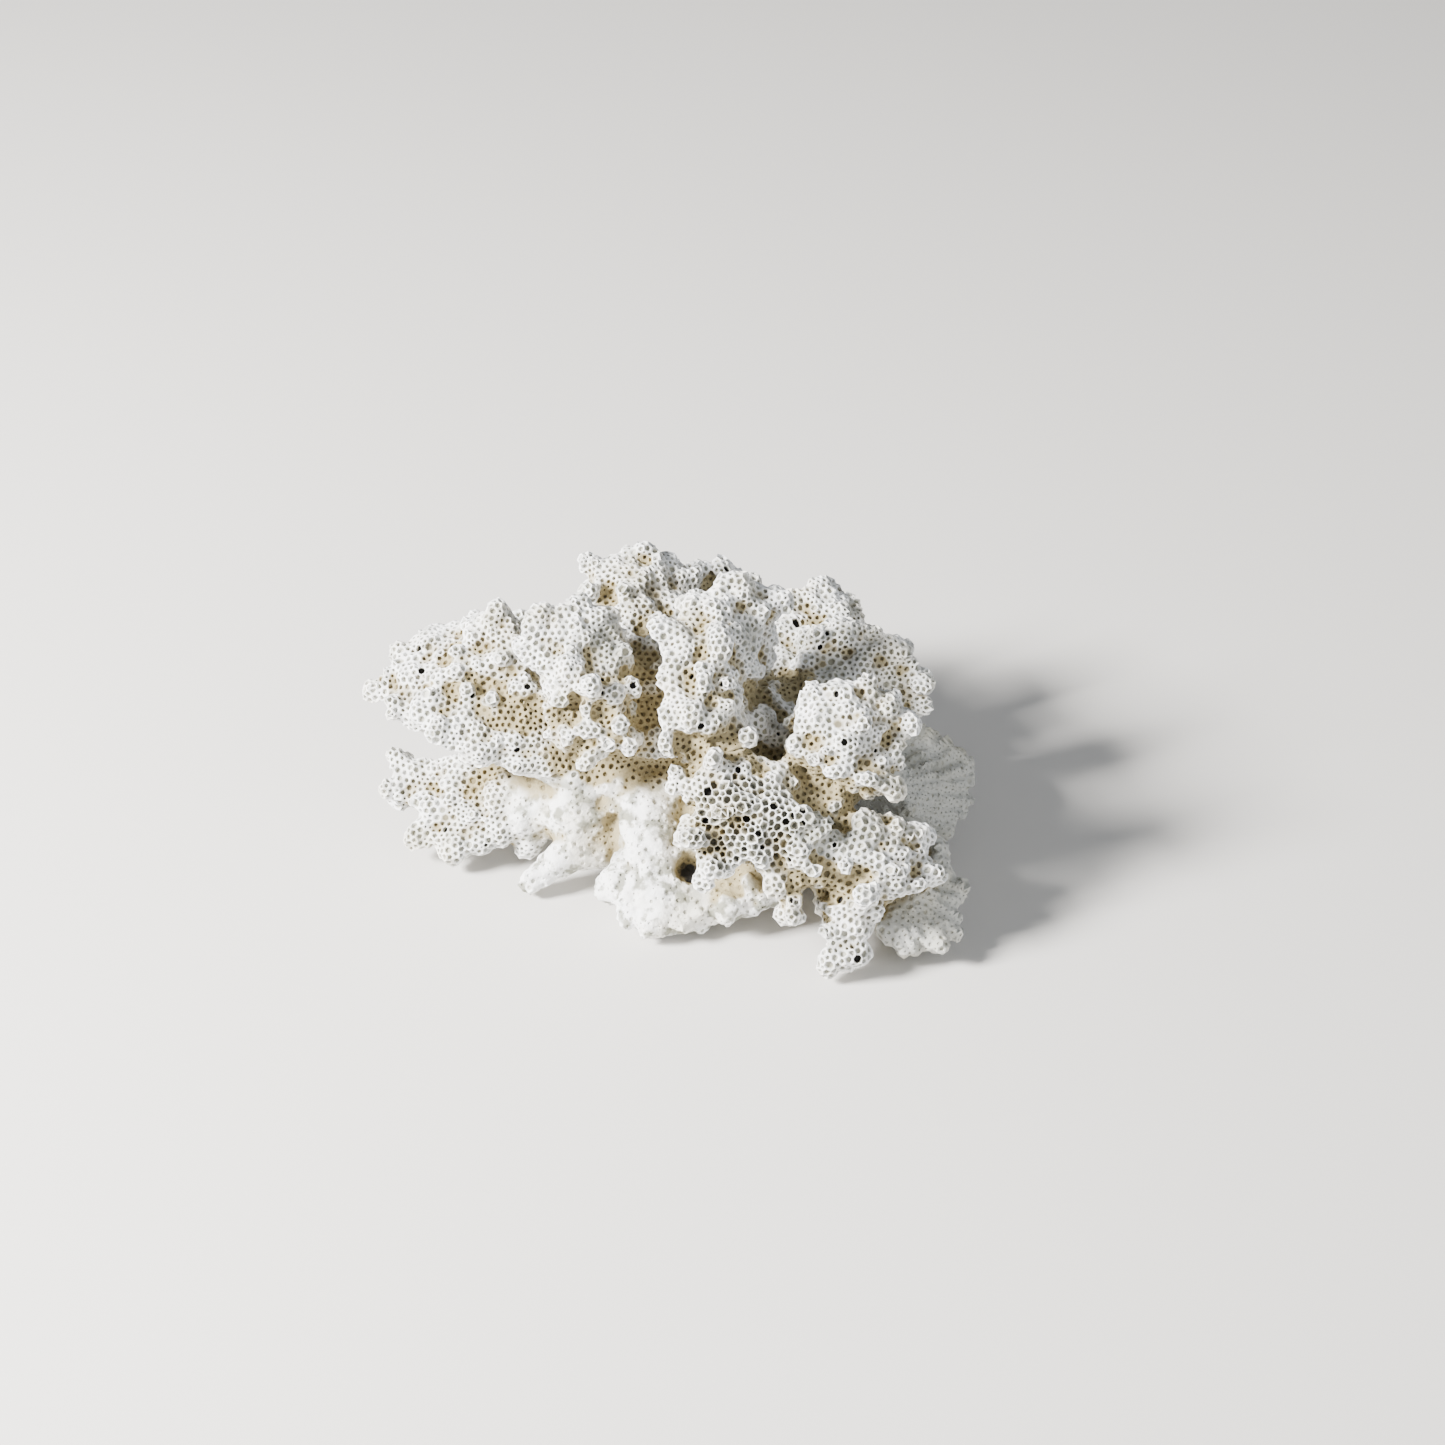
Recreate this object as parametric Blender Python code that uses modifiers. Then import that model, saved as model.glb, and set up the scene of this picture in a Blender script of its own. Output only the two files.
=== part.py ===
"""A bleached skeleton of cauliflower coral, resting on the flat cut of its base.

One colony grew as one piece, and it is split here at its main forks: a base with
a foot and a root edge, and the fan-shaped branches that rise from it. Every branch
is a cluster of lobes that spread from its fork round a thick heart, studded with the
blunt knobs that give the coral its cauliflower outline.

+X is to the right of the front, +Y to the back and +Z up. Every lump is written as
(x, y, z, radius) in millimetres, and the meshes are made in metres.
"""

import math
import random

import bmesh
import bpy
from mathutils import Matrix, Vector

MM = 0.001

# The fine grid that fuses the lumps of a piece, and how much the skin is softened.
FUSE_GRID = 0.65 * MM
SOFTENING_STEPS = 2

# The crack left between a branch and whatever it grew from or leans on.
FORK_GAP = 0.35 * MM

# The limb of the base that carries a branch ends this much fuller than the fork.
LIMB_COLLAR = 0.4

# Knobs: how far they stand out of a lobe, their radius, and the turn between two of them.
KNOB_REACH = (1.0, 2.2)
KNOB_RADIUS = (1.1, 1.7)
KNOB_TURN = math.radians(137.5)
KNOBS_ON_LOBE = 3
KNOBS_ON_HEART = 4
KNOB_LOWEST = 0.8

# Two lobes next to each other on a rim are webbed together if they are this near.
WEB_REACH = 11.0

# Faces kept for each piece, in triangles, before the forks are cut.
BASE_FACES = 1000
BRANCH_FACES = 460

BASE = "base_stem"

# The base: a short trunk on its flat cut, a pointed foot to the front left, and a
# ragged root edge along the front. The lumps of one row are wrapped in one skin.
BASE_MASSES = [
    [(2, -3, 1, 9), (-3, -8, 5, 8.5), (6, -4, 7, 9), (2, 4, 8, 9)],
    [(-3, -8, 5, 8.5), (6, -4, 7, 9), (0, -4, 17, 8)],
    [(0, -4, 17, 8), (-9, -5.5, 26, 5), (-3, 6, 26, 5), (7, -4, 25, 5)],
    [(-8, -7, 21, 5), (-13.5, -11, 17, 5), (-17.5, -12.5, 12.8, 5.4)],
    [(-3, -7, 7, 8), (-17.5, -12.5, 12.8, 5.4)],
    [(-3, -7, 5, 8), (-16, -12, 10, 4.5), (-18, -17, 8, 3.2)],
    [(-18, -17, 8, 3.2), (-26, -20, 2.9, 2.2)],
    [(-2, -8, 18, 6), (-5, -16, 15.2, 5.2), (-4, -21.5, 11, 5.2)],
    [(-3, -7, 5, 8), (-4, -21, 10.5, 5)],
    [(-4, -21, 10.5, 5), (-10.5, -23.5, 5.6, 2.9), (-3.5, -32.6, 3.3, 2.5)],
    [(-4, -21, 10.5, 5), (-3.5, -32.6, 3.3, 2.5), (4.7, -30.5, 5, 2.5)],
    [(-4, -21, 10.5, 5), (4.7, -30.5, 5, 2.5), (6, -18, 9, 5)],
    [(6, -18, 9, 5), (4.7, -30.5, 5, 2.5), (14, -30, 7.6, 2.5)],
    [(6, -18, 9, 5), (14, -30, 7.6, 2.5), (20.5, -28.5, 9, 2.2)],
]

# The ragged root edge, whose lumps bear knobs that point away from this middle.
ROOT_EDGE = [
    (-10.5, -23.5, 5.6, 2.9),
    (-7.5, -28, 4.6, 2.4),
    (-3.5, -32.6, 3.3, 2.5),
    (1, -32, 4.2, 2.4),
    (4.7, -30.5, 5, 2.5),
    (9.5, -30.5, 6.4, 2.4),
    (14, -30, 7.6, 2.5),
    (20.5, -28.5, 9, 2.2),
]
BASE_MIDDLE = (2, -8, 14, 9)

# The branches: where in the base its limb starts, the fork it grew from, its heart,
# and the lobes in order round its rim.
BRANCHES = {
    "upper_left_branch": (
        (-10, -11, 16, 5.5),
        (-21, -8, 23, 5.2),
        (-38, 1, 33, 4.4),
        [
            (-27.5, -11.5, 23.5, 2.7),
            (-34, -10.5, 25.5, 2.7),
            (-41, -8.5, 28, 2.4),
            (-43.5, -5.5, 30.5, 2.1),
            (-49, -3, 29.5, 1.8),
            (-52.5, 1.5, 29.5, 1.9),
            (-48.5, 7, 33.5, 2.6),
            (-42.5, 10.5, 36, 2.6),
            (-36, 10, 38, 2.6),
            (-31, 7, 41.5, 2.7),
            (-29, 2, 39.5, 2.4),
            (-25, -3, 33, 2.6),
        ],
    ),
    "lower_left_branch": (
        (-10, -11, 10, 6),
        (-22, -8, 12.5, 5.4),
        (-34, -6, 12, 4.0),
        [
            (-28, -4, 15.8, 3.2),
            (-35.5, -1.5, 15.8, 2.9),
            (-43, -1, 14.5, 2.5),
            (-49, 0, 14.5, 2.3),
            (-49.8, -3, 11, 2.0),
            (-43, -6.5, 9.5, 2.6),
            (-46, -10, 5.8, 1.8),
            (-39.5, -9, 7, 2.2),
            (-39, -13, 4.8, 1.5),
            (-33, -10, 7.5, 2.5),
            (-27, -11, 5.8, 2.0),
        ],
    ),
    "centre_left_branch": (
        (-2, -5, 18, 7),
        (-9, -5.5, 27.5, 5.4),
        (-17.5, -6, 44, 4.4),
        [
            (-9.5, -6, 43, 2.4),
            (-12, -1.5, 46, 3.0),
            (-17, -1.5, 49, 2.7),
            (-22, -3.5, 48.2, 2.3),
            (-24.5, -7, 44.5, 2.2),
            (-18.5, -13, 42, 2.2),
            (-14, -15.5, 41, 1.9),
            (-9, -12, 39, 2.2),
            (-9.5, -17, 32, 2.2),
            (-13.5, -17, 30.5, 2.2),
            (-18.5, -15.5, 31.5, 2.2),
            (-21, -12, 37, 2.2),
        ],
    ),
    "top_branch": (
        (0, 0, 18, 7),
        (-3, 7, 28, 5.2),
        (-7, 16, 40.5, 4.8),
        [
            (-14.5, 15.5, 40.5, 2.6),
            (-13, 20.5, 43, 3.3),
            (-7, 22.5, 43.8, 3.3),
            (-1.5, 22, 42.5, 3.0),
            (2.3, 20.5, 40, 2.5),
            (1, 13, 38, 2.4),
            (-4, 8.5, 39, 2.4),
            (-10, 8.5, 39, 2.6),
            (-14, 12, 36.5, 2.3),
        ],
    ),
    "centre_branch": (
        (2, -5, 18, 7),
        (7.5, -4, 27, 5.4),
        (6, -12, 47, 4.8),
        [
            (16, -2, 43, 2.8),
            (16, 0, 49, 3.0),
            (10.5, -2, 53, 3.4),
            (5, -5, 51.8, 3.0),
            (0.5, -11, 49.8, 2.4),
            (0.5, -18.5, 45, 2.4),
            (0.5, -23.5, 41.5, 2.0),
            (-0.5, -23.5, 36.5, 2.0),
            (5.5, -24.5, 35.5, 2.1),
            (5, -24.5, 41.5, 2.2),
            (11.5, -22.5, 37.5, 2.1),
            (13.5, -9, 41, 2.2),
        ],
    ),
    "back_left_branch": (
        (0, 2, 9, 8),
        (-11, 11, 15, 5.4),
        (-23, 23, 24, 4.2),
        [
            (-33, 15, 18, 2.6),
            (-31, 21, 23, 2.8),
            (-27.5, 25.5, 28, 2.5),
            (-21, 29, 27.5, 3.0),
            (-14, 32, 25, 2.8),
            (-17, 33, 17, 2.7),
            (-25, 28, 14.5, 2.6),
            (-31, 20, 13.5, 2.4),
        ],
    ),
    "top_back_branch": (
        (2, 4, 12, 8),
        (4, 15, 19.5, 5.6),
        (6, 32, 29.5, 4.4),
        [
            (3.5, 29, 37, 2.3),
            (7.5, 30.5, 36, 2.5),
            (11, 30, 34.5, 2.4),
            (15, 33, 27, 2.6),
            (11, 38, 20, 2.7),
            (3, 39, 21, 2.8),
            (-5, 36, 26, 2.8),
            (-2, 32, 32, 2.4),
        ],
    ),
    "back_right_branch": (
        (5, 2, 13, 7.5),
        (17.5, 11, 22, 5.0),
        (27.5, 22.5, 31, 3.6),
        [
            (22.5, 26, 33.5, 2.0),
            (27, 28.5, 34, 2.1),
            (31.5, 27.5, 31.5, 2.7),
            (34, 22.5, 27.5, 2.4),
            (27, 25.5, 26.5, 2.4),
            (21, 21, 29.5, 2.4),
        ],
    ),
    "right_shoulder_branch": (
        (6, -1, 13, 7.5),
        (19, 2, 22, 5.2),
        (29, 7, 30.5, 4.4),
        [
            (22.5, 2, 30.5, 2.4),
            (25.5, 9, 34, 2.5),
            (30, 12, 35, 2.7),
            (35.5, 10, 35, 2.8),
            (41, 7, 33.8, 2.8),
            (43.8, 4.5, 29.8, 2.3),
            (43.5, 3.5, 25.5, 1.4),
            (38.5, 3, 27.5, 2.5),
            (30, -1, 26, 2.5),
        ],
    ),
    "low_back_branch": (
        (5, 2, 8, 8),
        (18.5, 13, 10.5, 5.2),
        (33, 23, 14.5, 4.0),
        [
            (41, 15, 13, 2.5),
            (40, 21, 18, 2.8),
            (34, 26, 20.5, 2.8),
            (29, 31, 16.5, 2.7),
            (27, 33, 9.5, 2.5),
            (36, 27, 7.5, 2.5),
        ],
    ),
    "right_branch": (
        (7, -5, 12, 7.5),
        (22, -9.5, 19.5, 5.2),
        (30, -23.5, 39.5, 4.2),
        [
            (21.5, -25, 36.5, 1.9),
            (24, -18.5, 42.5, 1.9),
            (28.5, -18, 43.3, 2.4),
            (33, -17, 43, 2.4),
            (37.5, -17.5, 40.5, 2.5),
            (40, -20, 36.5, 2.4),
            (37.5, -24, 34.5, 2.3),
            (36.7, -29, 31, 1.5),
            (30.5, -29, 33.5, 2.1),
            (25.5, -27.5, 35, 2.2),
        ],
    ),
    "far_right_branch": (
        (7, -3, 7, 8),
        (31, -2.5, 11, 5.2),
        (45, -5, 13.8, 3.9),
        [
            (39.5, 2, 19, 2.4),
            (44, 1.5, 19.5, 2.2),
            (49, 1.5, 16.5, 2.4),
            (52, -1, 12.5, 2.2),
            (50.8, -4.5, 8.8, 2.1),
            (47.2, -9, 6.8, 1.8),
            (41, -9.5, 13.5, 2.8),
            (38.5, -8, 18, 2.4),
        ],
    ),
    "front_branch": (
        (6, -10, 12, 7.5),
        (14, -21, 20, 5.2),
        (10.5, -31.5, 29.5, 4.5),
        [
            (2, -28.5, 31.3, 2.6),
            (7, -27, 34, 2.6),
            (12.5, -26, 33.5, 2.5),
            (18.5, -25.5, 31, 2.4),
            (18, -32, 29, 3.1),
            (24, -34.5, 27.3, 2.2),
            (22.5, -37.5, 21.5, 2.3),
            (20.5, -39, 13, 1.6),
            (18.5, -37.8, 18.5, 2.4),
            (14.5, -37.2, 24.5, 2.3),
            (7, -37, 19.5, 2.8),
            (3.5, -34.8, 25.5, 2.4),
        ],
    ),
    "front_right_branch": (
        (8, -8, 9, 8),
        (28, -23.5, 13, 5.0),
        (36, -35, 19.5, 4.2),
        [
            (26, -37, 17, 2.2),
            (27.5, -34.5, 22.5, 2.0),
            (32.5, -31, 25, 1.9),
            (38, -30, 23, 2.5),
            (41.5, -31.5, 20.5, 2.3),
            (43.3, -34, 16.5, 2.1),
            (40, -37.8, 15.5, 2.2),
            (33.5, -38.8, 16, 3.0),
            (29.3, -41, 8.8, 3.6),
            (28.5, -42.8, 3.8, 1.9),
            (31.2, -43, 6, 2.0),
        ],
    ),
    "low_right_branch": (
        (8, -8, 9, 8),
        (33.5, -20, 8.5, 4.6),
        (42.5, -32, 8.6, 3.9),
        [
            (45.5, -27, 12.8, 2.2),
            (48.2, -30, 9, 2.2),
            (47.6, -34.3, 6.3, 2.1),
            (44.3, -37.8, 4.6, 2.1),
            (40, -39.3, 4.8, 2.1),
            (37, -37.5, 6.5, 2.3),
        ],
    ),
}

# Skeleton white, a shade warmer low down where the coral is stained.
WHITE = (0.86, 0.85, 0.81)
STAINED = (0.80, 0.77, 0.68)
STAIN_HEIGHT = 30.0
CHALKY = 0.88


def spot(lump):
    """The place of a lump, in metres."""
    return Vector(lump[:3]) * MM


def add_skin(shape, lumps):
    """Wraps a few round lumps in one tight skin."""
    hull = bmesh.new()
    for lump in lumps:
        bmesh.ops.create_icosphere(
            hull,
            subdivisions=2,
            radius=lump[3] * MM,
            matrix=Matrix.Translation(spot(lump)),
        )
    bmesh.ops.delete(hull, geom=hull.faces[:], context="FACES_ONLY")
    bmesh.ops.delete(hull, geom=hull.edges[:], context="EDGES_FACES")
    bmesh.ops.convex_hull(hull, input=hull.verts[:])
    inside = [vert for vert in hull.verts if not vert.link_faces]
    bmesh.ops.delete(hull, geom=inside, context="VERTS")
    wrapped = bpy.data.meshes.new("skin")
    hull.to_mesh(wrapped)
    hull.free()
    shape.from_mesh(wrapped)
    bpy.data.meshes.remove(wrapped)


def add_knobs(shape, fork, lobe, count, dice):
    """Blunt knobs round the side of a lobe that faces away from the fork."""
    outward = (spot(lobe) - spot(fork)).normalized()
    turn = outward.to_track_quat("Z", "Y")
    for i in range(count):
        lean = math.radians(20 + 70 * (i + dice.random()) / count)
        around = KNOB_TURN * i + dice.uniform(0, 0.8) + lobe[0]
        away = turn @ Vector(
            (
                math.sin(lean) * math.cos(around),
                math.sin(lean) * math.sin(around),
                math.cos(lean),
            )
        )
        radius = dice.uniform(*KNOB_RADIUS)
        reach = lobe[3] + dice.uniform(*KNOB_REACH) - radius
        tip = Vector(lobe[:3]) + away * reach
        if tip.z - radius > KNOB_LOWEST:
            add_skin(shape, [(*lobe[:3], radius * 1.4), (*tip, radius)])


def mesh_of(obj):
    """The object's mesh with its modifiers applied."""
    graph = bpy.context.evaluated_depsgraph_get()
    return bpy.data.meshes.new_from_object(obj.evaluated_get(graph))


def settle(obj):
    """Applies the object's modifiers."""
    finished = mesh_of(obj)
    obj.modifiers.clear()
    obj.data = finished


def keep_largest(obj):
    """Drops the crumbs that a cut leaves beside the main body."""
    shape = bmesh.new()
    shape.from_mesh(obj.data)
    left = set(shape.verts)
    bodies = []
    while left:
        body, edge = set(), [left.pop()]
        while edge:
            vert = edge.pop()
            body.add(vert)
            for link in vert.link_edges:
                other = link.other_vert(vert)
                if other in left:
                    left.remove(other)
                    edge.append(other)
        bodies.append(body)
    bodies.sort(key=len)
    crumbs = [vert for body in bodies[:-1] for vert in body]
    bmesh.ops.delete(shape, geom=crumbs, context="VERTS")
    shape.to_mesh(obj.data)
    shape.free()


def new_object(name, shape, collection):
    mesh = bpy.data.meshes.new(name)
    shape.to_mesh(mesh)
    shape.free()
    obj = bpy.data.objects.new(name, mesh)
    collection.objects.link(obj)
    return obj


def fuse(obj, faces):
    """Melts the overlapping lumps into one skin, softens it and keeps that many faces."""
    grid = obj.modifiers.new("fuse", "REMESH")
    grid.mode = "VOXEL"
    grid.voxel_size = FUSE_GRID
    soften = obj.modifiers.new("soften", "SMOOTH")
    soften.factor = 0.5
    soften.iterations = SOFTENING_STEPS
    settle(obj)
    keep_largest(obj)
    thin = obj.modifiers.new("thin", "DECIMATE")
    thin.ratio = faces / (2 * len(obj.data.polygons))
    settle(obj)


def cut_flat(obj):
    """Cuts the base off flat on the ground plane and closes the cut."""
    shape = bmesh.new()
    shape.from_mesh(obj.data)
    cut = bmesh.ops.bisect_plane(
        shape,
        geom=shape.verts[:] + shape.edges[:] + shape.faces[:],
        dist=1e-7,
        plane_co=(0, 0, 0),
        plane_no=(0, 0, 1),
        clear_inner=True,
    )
    rim = [item for item in cut["geom_cut"] if isinstance(item, bmesh.types.BMEdge)]
    bmesh.ops.holes_fill(shape, edges=rim)
    bmesh.ops.recalc_face_normals(shape, faces=shape.faces[:])
    shape.to_mesh(obj.data)
    shape.free()


def grow_base(collection):
    shape = bmesh.new()
    for mass in BASE_MASSES:
        add_skin(shape, mass)
    for root, fork, _, _ in BRANCHES.values():
        add_skin(shape, [root, (*fork[:3], fork[3] + LIMB_COLLAR)])
    dice = random.Random(BASE)
    for lump in ROOT_EDGE:
        add_knobs(shape, BASE_MIDDLE, lump, KNOBS_ON_LOBE, dice)
    base = new_object(BASE, shape, collection)
    fuse(base, BASE_FACES)
    cut_flat(base)
    return base


def grow_branch(name, fork, heart, rim, collection):
    dice = random.Random(name)
    shape = bmesh.new()
    add_knobs(shape, fork, heart, KNOBS_ON_HEART, dice)
    for lobe in rim:
        add_skin(shape, [fork, heart, lobe])
        add_knobs(shape, fork, lobe, KNOBS_ON_LOBE, dice)
    for lobe, following in zip(rim, rim[1:]):
        if (spot(following) - spot(lobe)).length < WEB_REACH * MM:
            add_skin(shape, [heart, lobe, following])
    branch = new_object(name, shape, collection)
    fuse(branch, BRANCH_FACES)
    return branch


def box_of(obj):
    corners = [Vector(vert.co) for vert in obj.data.vertices]
    low = Vector(map(min, zip(*corners)))
    high = Vector(map(max, zip(*corners)))
    return low, high


def near(one, other):
    """Whether the boxes of two pieces meet."""
    low, high = box_of(one)
    other_low, other_high = box_of(other)
    return all(
        low[i] - FORK_GAP < other_high[i] and other_low[i] - FORK_GAP < high[i]
        for i in range(3)
    )


def part_from(piece, neighbour, cutters):
    """Cuts the piece back from a neighbour that grew first, leaving the fork gap."""
    cutter = neighbour.copy()
    cutter.data = neighbour.data.copy()
    cutter.name = "cutter_" + neighbour.name
    cutters.objects.link(cutter)
    swell = cutter.modifiers.new("swell", "DISPLACE")
    swell.mid_level = 0
    swell.strength = FORK_GAP
    settle(cutter)
    cut = piece.modifiers.new("cut", "BOOLEAN")
    cut.operation = "DIFFERENCE"
    cut.object = cutter
    settle(piece)
    bpy.data.objects.remove(cutter)
    keep_largest(piece)


def paint(obj):
    """Matt white, a little warmer on the pieces that sit low."""
    low, high = box_of(obj)
    height = (low.z + high.z) / 2 / MM
    clean = min(1.0, height / STAIN_HEIGHT)
    colour = [s + (w - s) * clean for w, s in zip(WHITE, STAINED)]
    material = bpy.data.materials.new(obj.name)
    material.use_nodes = True
    surface = material.node_tree.nodes["Principled BSDF"]
    surface.inputs["Base Color"].default_value = (*colour, 1)
    surface.inputs["Roughness"].default_value = CHALKY
    surface.inputs["Metallic"].default_value = 0
    obj.data.materials.clear()
    obj.data.materials.append(material)


def centre_on_floor(pieces):
    """Moves the colony so that the origin is under the middle of its box."""
    boxes = [box_of(piece) for piece in pieces]
    lows, highs = zip(*boxes)
    low = Vector(map(min, zip(*lows)))
    high = Vector(map(max, zip(*highs)))
    middle = (low + high) / 2
    for piece in pieces:
        piece.data.transform(Matrix.Translation((-middle.x, -middle.y, -low.z)))


def main():
    for obj in list(bpy.data.objects):
        bpy.data.objects.remove(obj)
    coral = bpy.data.collections.new("coral_specimen")
    cutters = bpy.data.collections.new("cutters")
    for collection in (coral, cutters):
        bpy.context.scene.collection.children.link(collection)
    cutters.hide_render = True

    pieces = [grow_base(coral)]
    for name, (_, fork, heart, rim) in BRANCHES.items():
        pieces.append(grow_branch(name, fork, heart, rim, coral))
    for i, piece in enumerate(pieces):
        for earlier in pieces[:i]:
            if near(piece, earlier):
                part_from(piece, earlier, cutters)
    centre_on_floor(pieces)
    for piece in pieces:
        paint(piece)


main()
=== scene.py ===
import math
import random

import bmesh
import bpy
import numpy as np
from mathutils import Matrix, Vector, noise
from mathutils.bvhtree import BVHTree
from mathutils.kdtree import KDTree


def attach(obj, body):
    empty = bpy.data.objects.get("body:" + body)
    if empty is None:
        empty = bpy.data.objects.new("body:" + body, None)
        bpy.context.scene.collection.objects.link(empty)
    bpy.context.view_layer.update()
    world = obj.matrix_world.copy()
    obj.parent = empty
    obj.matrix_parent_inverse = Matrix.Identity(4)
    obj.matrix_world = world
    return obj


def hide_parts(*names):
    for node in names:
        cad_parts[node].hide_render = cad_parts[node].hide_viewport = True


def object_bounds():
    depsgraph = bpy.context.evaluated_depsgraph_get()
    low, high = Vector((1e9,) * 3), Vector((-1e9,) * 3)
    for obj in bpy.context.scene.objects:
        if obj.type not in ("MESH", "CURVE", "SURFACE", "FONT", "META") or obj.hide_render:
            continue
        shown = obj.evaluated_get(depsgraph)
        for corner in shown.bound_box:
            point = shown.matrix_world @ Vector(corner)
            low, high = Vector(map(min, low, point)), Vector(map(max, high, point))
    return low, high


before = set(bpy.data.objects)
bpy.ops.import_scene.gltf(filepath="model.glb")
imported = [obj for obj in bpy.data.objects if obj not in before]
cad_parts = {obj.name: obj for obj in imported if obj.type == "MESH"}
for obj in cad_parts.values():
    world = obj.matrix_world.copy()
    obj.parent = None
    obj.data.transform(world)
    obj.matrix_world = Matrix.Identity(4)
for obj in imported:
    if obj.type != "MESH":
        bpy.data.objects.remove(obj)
packed_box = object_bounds()


# The bare skeleton of the whole colony. The coral laid it down as one chalky body, so the
# packed branches are swelled until their cracks close and are melted into one skin.
MM = 0.001
CRACK_SWELL = 0.28 * MM
SKIN_GRID = 0.5 * MM
SKIN_SOFTENING = 4
SAME_CORNER = 0.001 * MM

# Masses that fill the valleys between the branches, as rows of (x, y, z, radius).
WEBS = [
    [(-9, -8, 27, 4.5), (5, -9, 27, 4.5), (-8, -1, 35, 4), (4, -1, 36, 4), (0, 2, 28, 6)],
    [(-8, -1, 35, 4), (4, -1, 36, 4), (-7, 6, 37, 3.5), (2, 6, 37, 3.5)],
    [(10, -11, 27, 5), (19, -11, 28, 4.5), (12, -2, 31, 5), (21, 0, 27, 4.5)],
    [(12, -2, 31, 5), (21, 0, 27, 4.5), (15, 6, 29, 4.5)],
    [(9, -14, 24, 4.5), (18, -14, 24, 5), (22, -17, 24, 4.5), (15, -22, 24, 5)],
    [(20, -24, 26, 4.5), (28, -26, 25.5, 4), (24, -14, 22, 5), (31, -19, 25, 4)],
    [(15.5, -12.5, 32.5, 3.6), (15, -3, 27, 4), (18, -6, 26, 4)],
]


def applied(obj):
    """Bakes the object's modifiers into its mesh."""
    graph = bpy.context.evaluated_depsgraph_get()
    mesh = bpy.data.meshes.new_from_object(obj.evaluated_get(graph))
    obj.modifiers.clear()
    obj.data = mesh
    return mesh


def melted(obj, grid, softening):
    """Melts overlapping bodies into one skin on a voxel grid, and softens it."""
    melt = obj.modifiers.new("melt", "REMESH")
    melt.mode = "VOXEL"
    melt.voxel_size = grid
    soften = obj.modifiers.new("soften", "SMOOTH")
    soften.factor = 0.5
    soften.iterations = softening
    applied(obj)


def without_bubbles(mesh):
    """Keeps the largest body of a mesh and drops the bubbles that were shut inside it."""
    shape = bmesh.new()
    shape.from_mesh(mesh)
    unseen = set(shape.verts)
    bodies = []
    while unseen:
        front = [unseen.pop()]
        body = []
        while front:
            vert = front.pop()
            body.append(vert)
            for edge in vert.link_edges:
                other = edge.other_vert(vert)
                if other in unseen:
                    unseen.remove(other)
                    front.append(other)
        bodies.append(body)
    largest = max(bodies, key=len)
    for body in bodies:
        if body is not largest:
            bmesh.ops.delete(shape, geom=body, context="VERTS")
    shape.to_mesh(mesh)
    shape.free()


def wrapped(lumps):
    """A few round lumps, given in millimetres, wrapped in one tight skin."""
    mass = bmesh.new()
    for x, y, z, radius in lumps:
        bmesh.ops.create_icosphere(
            mass,
            subdivisions=2,
            radius=radius * MM,
            matrix=Matrix.Translation(Vector((x, y, z)) * MM),
        )
    bmesh.ops.delete(mass, geom=mass.faces[:], context="FACES_ONLY")
    bmesh.ops.delete(mass, geom=mass.edges[:], context="EDGES_FACES")
    bmesh.ops.convex_hull(mass, input=mass.verts[:])
    inside = [vert for vert in mass.verts if not vert.link_faces]
    bmesh.ops.delete(mass, geom=inside, context="VERTS")
    return mass


def add_to(shape, extra):
    """Adds one bmesh to another."""
    loose = bpy.data.meshes.new("loose")
    extra.to_mesh(loose)
    extra.free()
    shape.from_mesh(loose)
    bpy.data.meshes.remove(loose)


body = bmesh.new()
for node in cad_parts.values():
    packed = bmesh.new()
    packed.from_mesh(node.data)
    bmesh.ops.remove_doubles(packed, verts=packed.verts[:], dist=SAME_CORNER)
    packed.normal_update()
    for vert in packed.verts:
        vert.co += vert.normal * CRACK_SWELL
    add_to(body, packed)
for lumps in WEBS:
    add_to(body, wrapped(lumps))

skeleton = bpy.data.objects.new("skeleton", bpy.data.meshes.new("skeleton"))
bpy.context.scene.collection.objects.link(skeleton)
body.to_mesh(skeleton.data)
body.free()
melted(skeleton, SKIN_GRID, SKIN_SOFTENING)
without_bubbles(skeleton.data)

# What each place on the colony is like: which branch it is on, how far it is from the old
# stem, and how much it stands out. The old skin is smooth, and the young ends are knobbly.
node_names = list(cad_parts)
corner_lists = []
owner_of_face = []
all_corners = []
for index, name in enumerate(node_names):
    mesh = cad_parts[name].data
    start = len(all_corners)
    all_corners += [vert.co.copy() for vert in mesh.vertices]
    for polygon in mesh.polygons:
        corner_lists.append([start + v for v in polygon.vertices])
        owner_of_face.append(index)
for lumps in WEBS:
    mass = wrapped(lumps)
    start = len(all_corners)
    mass.verts.index_update()
    all_corners += [vert.co.copy() for vert in mass.verts]
    for face in mass.faces:
        corner_lists.append([start + vert.index for vert in face.verts])
        owner_of_face.append(node_names.index("base_stem"))
    mass.free()
packed_tree = BVHTree.FromPolygons(all_corners, corner_lists)
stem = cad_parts["base_stem"].data
stem_tree = BVHTree.FromPolygons(
    [vert.co for vert in stem.vertices],
    [polygon.vertices[:] for polygon in stem.polygons],
)
OLD_REACH = (1 * MM, 7 * MM)
OLD_HEIGHT = (19 * MM, 25 * MM)


def owner(place):
    """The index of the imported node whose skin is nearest."""
    return owner_of_face[packed_tree.find_nearest(place)[2]]


def ramp(value, low, high):
    """0 at low, 1 at high and soft in between."""
    t = min(1.0, max(0.0, (value - low) / (high - low)))
    return t * t * (3 - 2 * t)


def youth(place):
    """0 on the old smooth stem and 1 on the living ends."""
    away = ramp(stem_tree.find_nearest(place)[3], *OLD_REACH)
    return max(away, ramp(place.z, *OLD_HEIGHT))


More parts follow.
